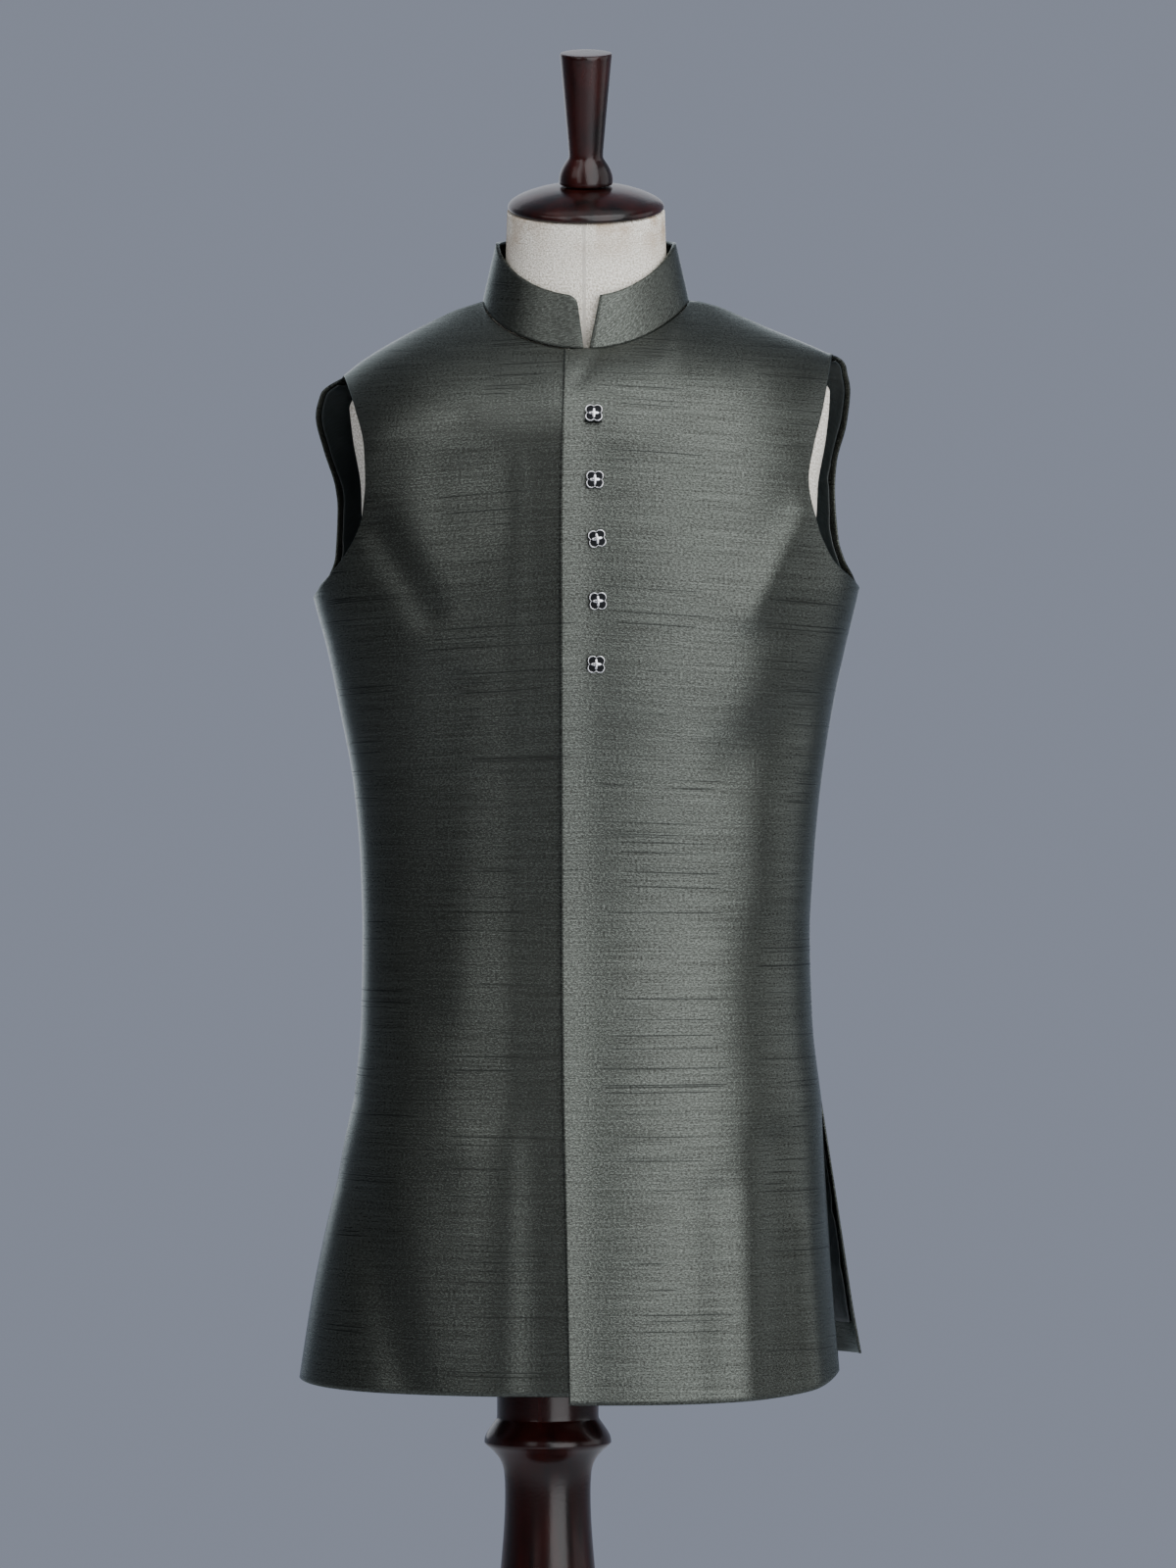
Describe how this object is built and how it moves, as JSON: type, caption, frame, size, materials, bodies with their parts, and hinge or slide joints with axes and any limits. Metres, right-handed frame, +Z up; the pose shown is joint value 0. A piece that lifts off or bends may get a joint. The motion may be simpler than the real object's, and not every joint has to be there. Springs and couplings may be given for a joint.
{
  "type": "sleeveless stand-collar jacket on a dress form",
  "caption": "Sleeveless thigh-long stand-collar jacket of slub silk with a lapped button front, worn by a limbless dress form on a turned wooden stand.",
  "frame": {"origin": "centre of the round base's underside, on the column's axis", "axes": "+Z up along the column, -Y towards the front that buttons, +X to the wearer's left"},
  "size_m": [0.4608, 0.42, 1.6338],
  "materials": {
    "silk": "olive grey slub silk with a soft sheen",
    "satin": "dark satin lining",
    "canvas": "matt cream canvas cover",
    "lacquered_wood": "dark mahogany lacquer, glossy and lightly chipped",
    "dark_metal": "gunmetal, satin",
    "bright_metal": "polished silver tone"
  },
  "bodies": {
    "root": {"front_right": "silk", "front_left": "silk", "back": "silk", "back_lining": "satin", "collar": "silk", "button_1": "dark_metal", "button_1_rim": "bright_metal", "button_1_centre": "bright_metal", "button_2": "dark_metal", "button_2_rim": "bright_metal", "button_2_centre": "bright_metal", "button_3": "dark_metal", "button_3_rim": "bright_metal", "button_3_centre": "bright_metal", "button_4": "dark_metal", "button_4_rim": "bright_metal", "button_4_centre": "bright_metal", "button_5": "dark_metal", "button_5_rim": "bright_metal", "button_5_centre": "bright_metal", "form_torso": "canvas", "neck_cap": "lacquered_wood", "finial": "lacquered_wood", "column": "lacquered_wood", "base": "lacquered_wood"}
  },
  "joints": []
}
